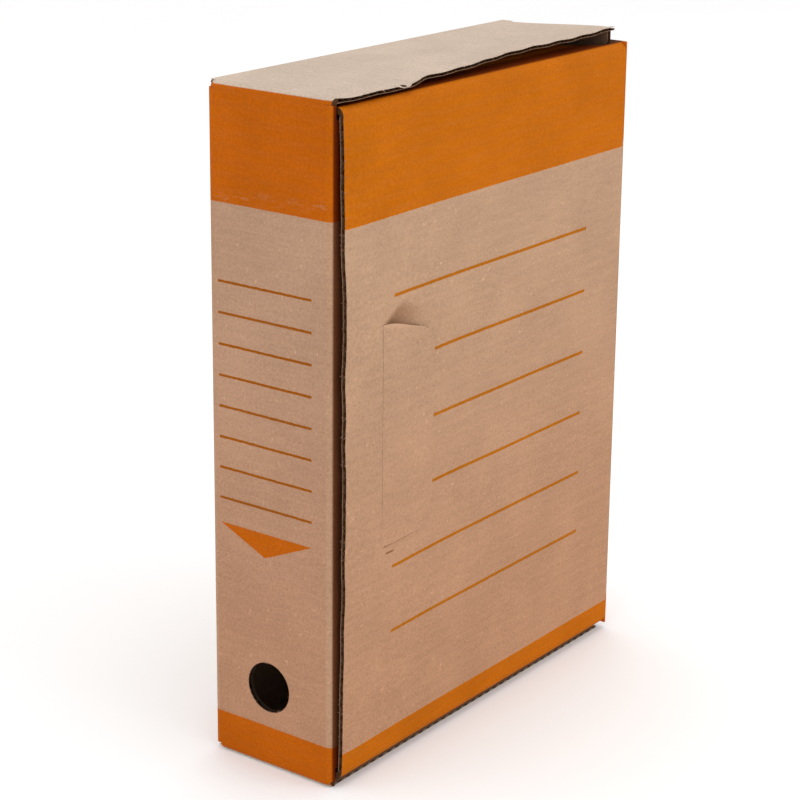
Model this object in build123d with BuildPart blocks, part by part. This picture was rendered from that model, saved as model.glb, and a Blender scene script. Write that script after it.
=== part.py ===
"""Archival box folded from one die-cut blank of single-wall corrugated board.

Millimetres, +Z up. Origin: middle of the footprint, on the surface it stands on.
-X spine, +X fore-edge, -Y lid, +Y back. Every panel is made of its three plies:
outer liner, fluting and inner liner. The flutes run round the box, along the row
lid, fore-edge, back, spine, flange, so they lie along X or along Y.
"""
from build123d import *
import os

# Driving sizes
HEIGHT = 330.0
WIDTH = 240.0
DEPTH = 76.0
BOARD = 3.0
LINER = 0.3
FLUTE_PITCH = 6.5
FLUTE_FLAT = 1.2
FLUTE_SHEET = 0.35
FOLD_GAP = 0.3

# Lid, flange and lock
LID_DROP = 4.2
LID_SIDE_STEP = 4.0
FLANGE_LENGTH = 28.0
FLANGE_END_STEP = 10.0
TONGUE_LOW = 111.0
TONGUE_HIGH = 221.0
TONGUE_LENGTH = 40.0
TONGUE_BOARD = 2.4
TONGUE_CORNER = 12.0
NECK_THICK = 2.0
SLIT_CLEAR = 0.6

# Walls and flaps
TOP_WALL_STEP = 4.5
WALL_END_STEP = 4.8
TUCK_LENGTH = 22.0
TUCK_SIDE_STEP = 7.0
TUCK_TAPER = 12.0
TUCK_SHOULDER = 8.0
FLAP_MEET_GAP = 7.4
FLAP_SPINE_STEP = 8.0
FLAP_FORE_STEP = 17.0
FLAP_TAPER = 14.0
FLAP_SHOULDER = 13.0
FLAP_DRAFT = 4.0
FLAP_CORNER = 6.0

# Finger hole in the spine
HOLE_DIAMETER = 25.0
HOLE_HEIGHT = 41.5
HOLE_OFFSET = 3.5

LEFT = -WIDTH / 2
RIGHT = WIDTH / 2
FRONT = -DEPTH / 2
BACK = DEPTH / 2
INSIDE_FRONT = FRONT + BOARD + FOLD_GAP
INSIDE_BACK = BACK - BOARD - FOLD_GAP
FLAP_LENGTH = (INSIDE_BACK - INSIDE_FRONT - FLAP_MEET_GAP) / 2
SPINE_INSIDE = LEFT + BOARD + FOLD_GAP
FORE_INSIDE = RIGHT - BOARD - FOLD_GAP
WALL_LOW = BOARD + FOLD_GAP
WALL_HIGH = HEIGHT - BOARD - FOLD_GAP
LID_LOW = LID_DROP
LID_HIGH = HEIGHT - LID_DROP
LID_LEFT = LEFT + LID_SIDE_STEP
WALL_END = RIGHT - WALL_END_STEP
NECK_LEFT = SPINE_INSIDE + FLANGE_LENGTH + FOLD_GAP
TONGUE_OUT = FRONT - FOLD_GAP - TONGUE_BOARD

os.makedirs("parts", exist_ok=True)


def save(piece, name):
    piece.part.label = name
    export_step(piece.part, f"parts/{name}.step")


def flat(face, points):
    """Points of the object as places on a panel's outer face."""
    local = [face.to_local_coords(Vector(*p)) for p in points]
    return [(p.X, p.Y) for p in local]


def outline(face, points, rounded, holes):
    """A panel's cut outline, drawn on its outer face."""
    corners = flat(face, points)
    soft = [Vector(*corners[i]) for i, radius in rounded]
    with BuildSketch(face) as cut:
        with BuildLine():
            Polyline(*corners, close=True)
        make_face()
    for (index, radius), place in zip(rounded, soft):
        with BuildSketch(face) as eased:
            add(cut.sketch_local)
            near = eased.sketch_local.vertices().sort_by_distance(place)[0]
            fillet(near, radius)
        cut = eased
    with BuildSketch(face) as opened:
        add(cut.sketch_local)
        for kind, centre, size in holes:
            with Locations(flat(face, [centre])[0]):
                if kind == "round":
                    Circle(size / 2, mode=Mode.SUBTRACT)
                else:
                    Rectangle(size[0], size[1], mode=Mode.SUBTRACT)
    return opened.sketch


def wave(length, thick, sheet):
    """The fluting's section: across the flutes, then through the board."""
    count = max(1, round(length / FLUTE_PITCH))
    pitch = length / count
    rise = thick - 2 * LINER - sheet
    low = []
    for i in range(count):
        start = i * pitch
        low.append((start, LINER))
        low.append((start + FLUTE_FLAT, LINER))
        low.append((start + pitch / 2, LINER + rise))
        low.append((start + pitch / 2 + FLUTE_FLAT, LINER + rise))
    low.append((length, LINER))
    high = [(a, b + sheet) for a, b in reversed(low)]
    return low + high


def board(name, origin, along, inward, points, rounded=(), holes=(), thick=BOARD):
    """One panel of corrugated board as its three plies."""
    face = Plane(origin=origin, x_dir=along, z_dir=inward)
    cut = outline(face, points, rounded, holes)
    across = [b for a, b in flat(face, points)]
    lengthways = [a for a, b in flat(face, points)]
    low_a = min(lengthways)
    low_b = min(across)
    span_a = max(lengthways) - low_a
    span_b = max(across) - low_b
    corner = face.from_local_coords(Vector(low_a, low_b, 0))
    end = Plane(origin=corner, x_dir=face.y_dir, z_dir=face.x_dir)

    with BuildPart() as outer_liner:
        add(cut)
        extrude(amount=LINER, dir=face.z_dir)
    save(outer_liner, f"{name}_outer_liner")

    with BuildPart() as fluting:
        with BuildSketch(end):
            with BuildLine():
                Polyline(*wave(span_b, thick, FLUTE_SHEET), close=True)
            make_face()
        extrude(amount=span_a, dir=face.x_dir)
        if rounded or holes:
            extrude(cut, amount=thick, dir=face.z_dir, mode=Mode.INTERSECT)
    save(fluting, f"{name}_fluting")

    with BuildPart() as inner_liner:
        add(cut.moved(Location(face.z_dir * (thick - LINER))))
        extrude(amount=LINER, dir=face.z_dir)
    save(inner_liner, f"{name}_inner_liner")


# Row of upright panels
board(
    "spine_panel", (LEFT, 0, 0), (0, 1, 0), (1, 0, 0),
    [
        (LEFT, INSIDE_FRONT, WALL_LOW), (LEFT, BACK, WALL_LOW),
        (LEFT, BACK, WALL_HIGH), (LEFT, INSIDE_FRONT, WALL_HIGH),
    ],
    holes=[("round", (LEFT, HOLE_OFFSET, HOLE_HEIGHT), HOLE_DIAMETER)],
)
board(
    "back_panel", (0, BACK, 0), (1, 0, 0), (0, -1, 0),
    [
        (SPINE_INSIDE, BACK, WALL_LOW), (RIGHT, BACK, WALL_LOW),
        (RIGHT, BACK, WALL_HIGH), (SPINE_INSIDE, BACK, WALL_HIGH),
    ],
)
board(
    "fore_edge_panel", (RIGHT, 0, 0), (0, 1, 0), (-1, 0, 0),
    [
        (RIGHT, INSIDE_FRONT, LID_LOW), (RIGHT, INSIDE_BACK, LID_LOW),
        (RIGHT, INSIDE_BACK, LID_HIGH), (RIGHT, INSIDE_FRONT, LID_HIGH),
    ],
)
slit_height = TONGUE_HIGH - TONGUE_LOW + 2 * SLIT_CLEAR
slit_width = NECK_THICK + 2 * SLIT_CLEAR
tongue_middle = (TONGUE_LOW + TONGUE_HIGH) / 2
board(
    "lid_panel", (0, FRONT, 0), (1, 0, 0), (0, 1, 0),
    [
        (LID_LEFT, FRONT, LID_LOW), (RIGHT, FRONT, LID_LOW),
        (RIGHT, FRONT, LID_HIGH), (LID_LEFT, FRONT, LID_HIGH),
    ],
    rounded=[(1, FLAP_CORNER)],
    holes=[
        (
            "slot",
            (NECK_LEFT + NECK_THICK / 2, FRONT, tongue_middle),
            (slit_width, slit_height),
        ),
    ],
)

# Flange behind the lid's free edge, and its lock tongue on the lid
board(
    "spine_flange", (0, INSIDE_FRONT, 0), (1, 0, 0), (0, 1, 0),
    [
        (SPINE_INSIDE, INSIDE_FRONT, FLANGE_END_STEP),
        (SPINE_INSIDE + FLANGE_LENGTH, INSIDE_FRONT, FLANGE_END_STEP),
        (SPINE_INSIDE + FLANGE_LENGTH, INSIDE_FRONT, HEIGHT - FLANGE_END_STEP),
        (SPINE_INSIDE, INSIDE_FRONT, HEIGHT - FLANGE_END_STEP),
    ],
    rounded=[(1, FLAP_CORNER), (2, FLAP_CORNER)],
)
board(
    "lock_tongue", (0, TONGUE_OUT, 0), (1, 0, 0), (0, 1, 0),
    [
        (NECK_LEFT, TONGUE_OUT, TONGUE_LOW),
        (NECK_LEFT + TONGUE_LENGTH, TONGUE_OUT, TONGUE_LOW),
        (NECK_LEFT + TONGUE_LENGTH, TONGUE_OUT, TONGUE_HIGH),
        (NECK_LEFT, TONGUE_OUT, TONGUE_HIGH),
    ],
    rounded=[(1, TONGUE_CORNER), (2, TONGUE_CORNER)],
    thick=TONGUE_BOARD,
)
with BuildPart() as tongue_neck:
    with BuildSketch(Plane.XY.offset(TONGUE_LOW)):
        with Locations((NECK_LEFT, TONGUE_OUT + TONGUE_BOARD)):
            Rectangle(
                NECK_THICK,
                INSIDE_FRONT + BOARD - FRONT + FOLD_GAP,
                align=(Align.MIN, Align.MIN),
            )
    extrude(amount=TONGUE_HIGH - TONGUE_LOW)
save(tongue_neck, "tongue_neck")

# Top and bottom: wall on the spine, tuck flap at its end, dust flaps under it
ends = [("top", HEIGHT, -1), ("bottom", 0.0, 1)]
for end_name, level, way in ends:
    wall_inside = level + way * (BOARD + FOLD_GAP)
    lid_level = level + way * LID_DROP
    board(
        f"{end_name}_wall", (0, 0, level), (0, 1, 0), (0, 0, way),
        [
            (LEFT, FRONT + TOP_WALL_STEP, level), (WALL_END, FRONT + TOP_WALL_STEP, level),
            (WALL_END, BACK, level), (LEFT, BACK, level),
        ],
    )
    tuck_end = wall_inside + way * TUCK_LENGTH
    shoulder = wall_inside + way * TUCK_SHOULDER
    tuck_front = FRONT + TUCK_SIDE_STEP
    tuck_back = BACK - TUCK_SIDE_STEP
    board(
        f"{end_name}_tuck_flap", (WALL_END, 0, 0), (0, 1, 0), (-1, 0, 0),
        [
            (WALL_END, tuck_front, wall_inside),
            (WALL_END, tuck_back, wall_inside),
            (WALL_END, tuck_back, shoulder),
            (WALL_END, tuck_back - TUCK_TAPER, tuck_end),
            (WALL_END, tuck_front + TUCK_TAPER, tuck_end),
            (WALL_END, tuck_front, shoulder),
        ],
        rounded=[(3, FLAP_CORNER), (4, FLAP_CORNER)],
    )
    owners = [("back", INSIDE_BACK, -1, wall_inside), ("lid", INSIDE_FRONT, 1, lid_level)]
    for owner, root, turn, plane_level in owners:
        flap_left = LEFT + FLAP_SPINE_STEP
        flap_right = RIGHT - FLAP_FORE_STEP
        far = root + turn * FLAP_LENGTH
        knee = root + turn * FLAP_SHOULDER
        board(
            f"{owner}_{end_name}_dust_flap",
            (0, 0, plane_level), (1, 0, 0), (0, 0, way),
            [
                (flap_left, root, plane_level),
                (flap_right, root, plane_level),
                (flap_right - FLAP_TAPER, knee, plane_level),
                (flap_right - FLAP_TAPER - FLAP_DRAFT, far, plane_level),
                (flap_left + FLAP_DRAFT, far, plane_level),
            ],
            rounded=[(3, FLAP_CORNER), (4, FLAP_CORNER)],
        )
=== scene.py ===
"""Looks of a folded archival box: printed kraft board, creases, fluting and lock tongue.

Laid out as an add-on. Metres, +Z up. -X spine, +X fore-edge, -Y lid, +Y back.
"""

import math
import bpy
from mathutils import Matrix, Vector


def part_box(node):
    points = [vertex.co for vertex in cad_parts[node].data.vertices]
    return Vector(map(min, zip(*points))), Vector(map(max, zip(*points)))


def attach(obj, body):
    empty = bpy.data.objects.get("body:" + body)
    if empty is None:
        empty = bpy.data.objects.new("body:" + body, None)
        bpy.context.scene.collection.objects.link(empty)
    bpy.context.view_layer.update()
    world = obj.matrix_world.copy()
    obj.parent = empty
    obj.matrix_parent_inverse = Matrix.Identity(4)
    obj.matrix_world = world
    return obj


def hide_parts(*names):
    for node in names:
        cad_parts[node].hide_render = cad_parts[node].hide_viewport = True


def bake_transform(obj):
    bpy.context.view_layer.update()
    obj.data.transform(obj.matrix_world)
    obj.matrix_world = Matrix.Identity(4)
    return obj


bl_info = {
    "name": "Archival box",
    "version": (1, 0, 0),
    "blender": (4, 5, 0),
    "location": "3D View > Sidebar > Archival box",
    "description": "Builds the board, creases and print of a folded archival box on its CAD frame",
    "category": "Object",
}

import bmesh
import bpy
import numpy as np
from bpy.props import FloatProperty, FloatVectorProperty, IntProperty, PointerProperty
from mathutils import Matrix, Vector
from mathutils.geometry import delaunay_2d_cdt

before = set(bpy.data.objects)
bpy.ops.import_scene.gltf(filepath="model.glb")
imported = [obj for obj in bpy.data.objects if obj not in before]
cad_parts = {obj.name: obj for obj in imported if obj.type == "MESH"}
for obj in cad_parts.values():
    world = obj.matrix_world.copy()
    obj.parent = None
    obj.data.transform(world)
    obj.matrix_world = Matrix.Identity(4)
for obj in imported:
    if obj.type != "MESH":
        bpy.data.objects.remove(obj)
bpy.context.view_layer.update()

MM = 0.001
X, Y, Z = 0, 1, 2


def level(node, side, axis):
    """One coordinate of a CAD node's box: side 0 is its low corner, 1 its high one."""
    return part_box(node)[side][axis]


LEFT = level("spine_panel_outer_liner", 0, X)
RIGHT = level("fore_edge_panel_outer_liner", 1, X)
FRONT = level("lid_panel_outer_liner", 0, Y)
BACK = level("back_panel_outer_liner", 1, Y)
FLANGE_FACE = level("spine_flange_outer_liner", 0, Y)
WALL_TOP = level("top_wall_outer_liner", 1, Z)
WALL_END = level("top_wall_outer_liner", 1, X)
WALL_FRONT = level("top_wall_outer_liner", 0, Y)
LID_TOP = level("lid_panel_outer_liner", 1, Z)
LID_BOTTOM = level("lid_panel_outer_liner", 0, Z)
LID_EDGE = level("lid_panel_outer_liner", 0, X)
BACK_TOP = level("back_panel_outer_liner", 1, Z)
BACK_BOTTOM = level("back_panel_outer_liner", 0, Z)
BOARD = level("lid_panel_inner_liner", 1, Y) - FRONT
TONGUE_LOW, TONGUE_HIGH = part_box("lock_tongue_outer_liner")
# how far the tongue's low edge has slipped up and how long the dent above it is, in millimetres
TONGUE_SLIP = 3.2
DENT_LENGTH = 34
# a crushed edge's middle lies this far under the board's outer face
CRUSHED = 0.8 * MM


# ---------------------------------------------------------------- settings


class BoardSettings(bpy.types.PropertyGroup):
    """Sizes of the corrugated board itself."""

    liner: FloatProperty(
        name="Liner", description="Thickness of each liner", default=0.3 * MM, unit="LENGTH",
    )
    sheet: FloatProperty(
        name="Fluting sheet", description="Thickness of the fluting paper", default=0.22 * MM,
        unit="LENGTH",
    )
    pitch: FloatProperty(
        name="Flute pitch", description="Distance from one flute to the next", default=6.5 * MM,
        unit="LENGTH",
    )
    fold: FloatProperty(
        name="Fold radius", description="Outer radius of a crease", default=3.4 * MM, unit="LENGTH",
    )
    soft_fold: FloatProperty(
        name="Lid fold radius", description="Outer radius of the lid's softer creases",
        default=4.4 * MM, unit="LENGTH",
    )
    tongue_fold: FloatProperty(
        name="Tongue fold radius", description="Outer radius of the tongue's crease", default=0.9 * MM,
        unit="LENGTH",
    )
    step: FloatProperty(
        name="Mesh step", description="Size of a liner's facets", default=4.0 * MM, unit="LENGTH",
    )


class WearSettings(bpy.types.PropertyGroup):
    """How far handling has bent the board."""

    bow: FloatProperty(
        name="Lid bow", description="How far the lid's free edge bows out at mid height",
        default=2.3 * MM, unit="LENGTH",
    )
    lift: FloatProperty(
        name="Wall lift", description="How far the top wall's free corner has sprung up",
        default=3.6 * MM, unit="LENGTH",
    )
    wave: FloatProperty(
        name="Wall wave", description="How far the top wall's free edge waves", default=0.5 * MM,
        unit="LENGTH",
    )
    dent: FloatProperty(
        name="Dent", description="Depth of the dent above the lock tongue", default=2.4 * MM,
        unit="LENGTH",
    )
    ripple: FloatProperty(
        name="Panel ripple", description="Gentle unevenness of every panel", default=0.25 * MM,
        unit="LENGTH",
    )
    fibres: IntProperty(
        name="Torn fibres", description="Loose paper fibres per metre of raw edge", default=420, min=0,
    )
    seed: IntProperty(name="Seed", description="Seed of everything that is scattered", default=7)


class PrintSettings(bpy.types.PropertyGroup):
    """Colours and places of the paper and of the print on it."""

    kraft: FloatVectorProperty(
        name="Kraft", description="Colour of the printed side's kraft paper", subtype="COLOR",
        default=(0.435, 0.257, 0.161),
    )
    # painted light: this kraft is set paler and greyer than the sides' kraft, a painted highlight for the
    # light and sheen from above; the walls and the spine's top and bottom folds use it
    top_lit_kraft: FloatVectorProperty(
        name="Pale kraft", description="Colour of the top wall's rubbed kraft paper", subtype="COLOR",
        default=(0.525, 0.420, 0.340),
    )
    # the fluting's brown is set much darker than the liners: partly its own paper, partly painted shade in
    # the board's cut edges and gaps
    medium: FloatVectorProperty(
        name="Fluting paper", description="Colour of the fluting", subtype="COLOR",
        default=(0.120, 0.056, 0.027),
    )
    ink: FloatVectorProperty(
        name="Ink", description="Colour of the printed bands and lines", subtype="COLOR",
        default=(0.478, 0.108, 0.002),
    )
    top_band: FloatProperty(
        name="Top band", description="Lower edge of the broad band at the top", default=274.8 * MM,
        unit="LENGTH",
    )
    low_band: FloatProperty(
        name="Low band", description="Upper edge of the narrow band at the bottom", default=21.0 * MM,
        unit="LENGTH",
    )
    line: FloatProperty(
        name="Line width", description="Thickness of a ruled line", default=1.6 * MM, unit="LENGTH",
    )


class StageSettings(bpy.types.PropertyGroup):
    """Camera, floor and lights."""

    azimuth: FloatProperty(
        name="Azimuth", description="Direction of the camera round the box", subtype="ANGLE",
        default=math.radians(-53.9),
    )
    elevation: FloatProperty(
        name="Elevation", description="Height angle of the camera", subtype="ANGLE",
        default=math.radians(16.22),
    )
    roll: FloatProperty(
        name="Roll", description="Turn of the camera about its own line of sight", subtype="ANGLE",
        default=math.radians(0.8),
    )
    distance: FloatProperty(
        name="Distance", description="Distance from the camera to its target", default=1.119,
        unit="LENGTH",
    )
    target: FloatProperty(
        name="Target height", description="Height that the camera looks at", default=0.1973,
        unit="LENGTH",
    )
    lens: FloatProperty(name="Lens", description="Focal length in millimetres", default=101.3)
    shift: FloatVectorProperty(
        name="Shift", description="Lens shift across and up", size=2, default=(-0.0353, -0.10),
    )
    floor: FloatProperty(name="Floor", description="Half the floor's side", default=6.0, unit="LENGTH")


# ---------------------------------------------------------------- the board's panels

# name: body, the axis its flutes lie along, the axis across them, the axis through it, inward sign
PANELS = {
    "spine_panel": ("case", Y, Z, X, 1),
    "back_panel": ("case", X, Z, Y, -1),
    "fore_edge_panel": ("case", Y, Z, X, -1),
    "lid_panel": ("lid", X, Z, Y, 1),
    "spine_flange": ("flange", X, Z, Y, 1),
    "lock_tongue": ("tongue", X, Z, Y, 1),
    "top_wall": ("top_wall", Y, X, Z, -1),
    "top_tuck_flap": ("top_tuck", Y, Z, X, -1),
    "bottom_wall": ("bottom_wall", Y, X, Z, 1),
    "bottom_tuck_flap": ("bottom_tuck", Y, Z, X, -1),
    "back_top_dust_flap": ("back_top_flap", X, Y, Z, -1),
    "back_bottom_dust_flap": ("back_bottom_flap", X, Y, Z, 1),
    "lid_top_dust_flap": ("lid_top_flap", X, Y, Z, -1),
    "lid_bottom_dust_flap": ("lid_bottom_flap", X, Y, Z, 1),
}


BODY = {name: row[0] for name, row in PANELS.items()}
BODY["tongue_neck"] = "flange"


def creases():
    """Every fold: its two panels with their outward sides, its radius and its run.

    A side is (axis, sign, place) and a run is (axis, start, end).
    """
    board = bpy.context.scene.box_board
    tight, soft = board.fold, board.soft_fold
    left, right, end = (X, -1, LEFT), (X, 1, RIGHT), (X, 1, WALL_END)
    front, back = (Y, -1, FRONT), (Y, 1, BACK)
    top, under = (Z, 1, WALL_TOP), (Z, -1, 0.0)
    upright, wall_run = (Z, BACK_BOTTOM, BACK_TOP), (Y, WALL_FRONT, BACK)
    lid_run = (X, LID_EDGE, RIGHT - tight)
    tuck_run = (Y, *(corner.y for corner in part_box("top_tuck_flap_outer_liner")))
    flap_run = (X, *(corner.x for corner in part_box("back_top_dust_flap_outer_liner")))
    slit_left, tongue_face = (X, -1, TONGUE_LOW.x), (Y, -1, TONGUE_LOW.y)
    tongue_run = (Z, TONGUE_LOW.z, TONGUE_HIGH.z)
    rows = [
        ("spine_back", "spine_panel", "back_panel", left, back, tight, upright),
        ("fore_back", "fore_edge_panel", "back_panel", right, back, tight, upright),
        ("fore_lid", "fore_edge_panel", "lid_panel", right, front, tight, (Z, LID_BOTTOM, LID_TOP)),
        ("spine_flange", "spine_panel", "spine_flange", left, (Y, -1, FLANGE_FACE), tight, upright),
        ("spine_top", "spine_panel", "top_wall", left, top, tight, wall_run),
        ("spine_bottom", "spine_panel", "bottom_wall", left, under, tight, wall_run),
        ("top_tuck", "top_wall", "top_tuck_flap", top, end, tight, tuck_run),
        ("bottom_tuck", "bottom_wall", "bottom_tuck_flap", under, end, tight, tuck_run),
        ("back_top", "back_panel", "back_top_dust_flap", back, (Z, 1, BACK_TOP), tight, flap_run),
        ("back_bottom", "back_panel", "back_bottom_dust_flap", back, (Z, -1, BACK_BOTTOM), tight, flap_run),
        ("lid_top", "lid_panel", "lid_top_dust_flap", front, (Z, 1, LID_TOP), soft, lid_run),
        ("lid_bottom", "lid_panel", "lid_bottom_dust_flap", front, (Z, -1, LID_BOTTOM), soft, lid_run),
        ("tongue", "tongue_neck", "lock_tongue", slit_left, tongue_face, board.tongue_fold, tongue_run),
    ]
    folds = []
    for name, a, b, side_a, side_b, radius, (run, start, end) in rows:
        fold = {"name": name, "a": a, "b": b, "out_a": side_a[:2], "out_b": side_b[:2], "radius": radius}
        fold.update(corner={side_a[0]: side_a[2], side_b[0]: side_b[2]}, run=run, start=start, end=end)
        folds.append(fold)
    return folds


def smooth(t):
    t = np.clip(t, 0.0, 1.0)
    return t * t * (3 - 2 * t)


def grow(value, reach):
    """Rises smoothly from 0 to 1 as value goes from 0 to reach, in millimetres."""
    return smooth(value / (reach * MM))


def fade(value, reach):
    """Falls smoothly from 1 to 0 as value goes from 0 to reach, in millimetres."""
    return smooth(1 - value / (reach * MM))


def inset(value, low, high, reach):
    """0 at both ends of a stretch, 1 from reach millimetres inside them."""
    return grow(np.minimum(value - low, high - value), reach)


def mound(value, reach):
    """A bell curve of value, reach millimetres wide."""
    return np.exp(-((value / (reach * MM)) ** 2))


def ripple(points, seed):
    """Slow unevenness made of a few waves, between -1 and 1."""
    value = np.zeros(len(points))
    for k in range(4):
        ways = (
            math.sin(seed * 3.1 + k * 2.3), math.sin(seed * 1.7 + k * 4.1),
            math.cos(seed * 2.3 + k * 1.9),
        )
        value += np.sin(points @ np.array(ways) * (38.0 + 24.0 * k) + seed * 1.3 + k * 2.0) / 4
    return value


def wobble(t, *waves):
    """Sum of sine waves along t, each (height, frequency, phase)."""
    return sum(height * np.sin(t * often + phase) for height, often, phase in waves)


def up_lid(z):
    """0 at the lid's ends, 1 at its mid height."""
    up = np.clip((z - LID_BOTTOM) / (LID_TOP - LID_BOTTOM), 0, 1)
    return np.sin(math.pi * up) ** 0.8


def lid_swell(x, z, wear):
    """How far the lid stands out: most at its free edge at mid height, and beside the slit."""
    bow = fade(x - LID_EDGE, 95) * up_lid(z) * wear.bow
    lip = mound(x - TONGUE_LOW.x + 8 * MM, 11)
    lip *= smooth(1.4 - np.abs(z - (TONGUE_HIGH.z + TONGUE_LOW.z) / 2) / (60 * MM)) * 0.7 * MM
    wrinkle = mound(z - 148 * MM + 0.05 * x, 2) * mound(x + 31 * MM, 15)
    lip += wrinkle * 0.3 * MM
    rest = grow(RIGHT - x, 30) * inset(z, LID_BOTTOM, LID_TOP, 25)
    return bow + lip - ripple(np.stack([x, 0 * x, z], 1), 3) * wear.ripple * rest


def bend_lid(p, wear):
    """The lid's free edge is bowed, wavy and crushed, and the board above the tongue is pushed in."""
    x, y, z = p.T.copy()
    from_edge, hold = x - LID_EDGE, up_lid(z)
    p[:, 1] -= lid_swell(x, z, wear) + fade(from_edge, 26) * hold * MM * wobble(
        z, (0.25, 61, 0.6), (0.18, 143, 0),
    )
    p[:, 0] += fade(from_edge, 5) * hold * MM * wobble(z, (0.35, 83, 1.0), (0.25, 211, 0), (0.12, 690, 0))
    # cutting has crushed the board along the free edge
    p[:, 1] -= fade(from_edge, 7) * (y - (FRONT + BOARD / 2)) * 0.22
    # the dent rises from the slit's top end and dies away towards the right
    along = (x - TONGUE_LOW.x) / (DENT_LENGTH * MM)
    above = z - TONGUE_HIGH.z
    top = np.minimum(along * 16, (1.25 - along) * 11) * MM
    pushed = grow(top - above + 3 * MM, 8) * grow(above + 10 * MM, 6)
    p[:, 1] += pushed * smooth(along * 3.5) * smooth(1.3 - along) * wear.dent


def bend_tongue(p, wear):
    """The tongue lies crushed against the lid, thinnest at its cut edges."""
    x, y, z = p.T.copy()
    from_fold, from_low, from_high = x - TONGUE_LOW.x, z - TONGUE_LOW.z, TONGUE_HIGH.z - z
    p[:, 1] -= lid_swell(x, z, wear)
    under = FRONT - 0.3 * MM
    thick = under - TONGUE_LOW.y
    out = np.clip((under - y) / thick, 0, 1)
    rim = np.minimum(np.minimum(from_low, from_high), np.minimum(TONGUE_HIGH.x - x, from_fold))
    near = grow(from_fold, 7)
    stand = (0.10 + 0.48 * near + 0.62 * grow(rim, 9)) * MM
    p[:, 1] += out * (thick - stand) + 0.05 * MM * ripple(p, 5) * near + (0.20 - 0.10 * near) * MM
    # its fold leans over the slit's near lip
    p[:, 0] -= 0.9 * MM * fade(from_fold, 4) * smooth(out * 1.5)
    # its top edge has slipped down at the free end, and its low edge up
    p[:, 2] += (1.2 - 7.6 * grow(from_fold, 36)) * MM * fade(from_high, 45)
    p[:, 2] += TONGUE_SLIP * MM * fade(from_low, 40)
    # a shallow crease runs down across it near its middle
    p[:, 1] -= 0.22 * MM * mound(from_low - 62 * MM - 0.25 * from_fold, 2.2) * grow(from_fold, 16)


def bend_wall(p, wear):
    """The top wall's free edge laps the lid near the spine and springs up towards its far corner."""
    x, y, z = p.T.copy()
    end = np.clip((x - LEFT) / (WALL_END - LEFT), 0, 1)
    from_edge = y - WALL_FRONT
    front = fade(from_edge, 18)
    free = smooth(end / 0.04)
    kink = smooth((end - 0.225) / 0.08)
    twist = end ** 1.6 * smooth((BACK - y) / (BACK - WALL_FRONT)) * wear.lift
    rise = wobble(end, (wear.wave, 11, 0.8), (0.15 * MM, 67, 0)) + 1.4 * MM * (kink - 0.5)
    p[:, 2] += twist + free * front * rise
    lap = (3.2 * (1 - kink) - 1.6 * smooth(end * 1.3) * kink) * MM
    p[:, 1] -= front * smooth(end / 0.05) * (lap + wobble(end, (0.45 * MM, 16, 1.4), (0.22 * MM, 71, 0)))
    # cutting has crushed the board along the free edge
    p[:, 2] += (WALL_TOP - CRUSHED - z) * fade(from_edge, 9) * 0.42 * free
    # a scrap of the outer liner hangs over the edge by the kink
    scrap = smooth(1.6 - np.abs(end - 0.215) / 0.016) * (z > WALL_TOP - 0.35 * MM) * fade(from_edge, 2)
    p[:, 1] -= scrap * 0.7 * MM
    p[:, 2] -= scrap * 1.0 * MM


def shape(points, panel):
    """Bends points of a panel, given at rest on the flat board, as handling has bent it."""
    wear = bpy.context.scene.box_wear
    p = np.array(points, float)
    x, y, z = p[:, 0].copy(), p[:, 1].copy(), p[:, 2].copy()
    low, high = 4 * MM, WALL_TOP - 4 * MM
    if panel == "lid_panel":
        bend_lid(p, wear)
    elif panel == "lock_tongue":
        bend_tongue(p, wear)
    elif panel == "tongue_neck":
        p[:, 1] -= lid_swell(x, z, wear)
    elif panel in ("top_wall", "top_tuck_flap"):
        bend_wall(p, wear)
    elif panel == "bottom_wall":
        p[:, 2] += (CRUSHED - z) * fade(y - WALL_FRONT, 9) * 0.62 * grow(x - LEFT, 9)
    elif panel == "spine_flange":
        dip = grow(x - LEFT - 1.5 * MM, 3) * fade(x - LEFT - 8 * MM, 14)
        p[:, 1] += dip * 0.4 * MM
    elif panel in ("spine_panel", "fore_edge_panel"):
        hold = inset(y, FLANGE_FACE, BACK, 14) * inset(z, low, high, 14)
        side = 1 if panel == "spine_panel" else -1
        p[:, 0] += side * hold * (0.5 + 0.5 * ripple(p, 1)) * wear.ripple
    elif panel == "back_panel":
        hold = inset(x, LEFT, RIGHT, 20) * inset(z, low, high, 20)
        p[:, 1] -= hold * (0.5 + 0.5 * ripple(p, 4)) * wear.ripple * 1.6
    return p


def mesh_object(name, verts, faces, material, body=None):
    """A piece at the origin with its place in its mesh, riding on a CAD body."""
    mesh = bpy.data.meshes.new(name)
    mesh.from_pydata([tuple(v) for v in verts], [], [tuple(int(i) for i in f) for f in faces])
    mesh.validate()
    mesh.update()
    mesh.materials.append(material)
    piece = bpy.data.objects.new(name, mesh)
    bpy.context.scene.collection.objects.link(piece)
    if body:
        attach(piece, body)
    return piece


def shade_smooth(piece, angle=50):
    """Smooth shading with sharp edges where the board turns by more than the angle."""
    mesh = piece.data
    mesh.shade_smooth()
    mesh.set_sharp_from_angle(angle=math.radians(angle))


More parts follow.
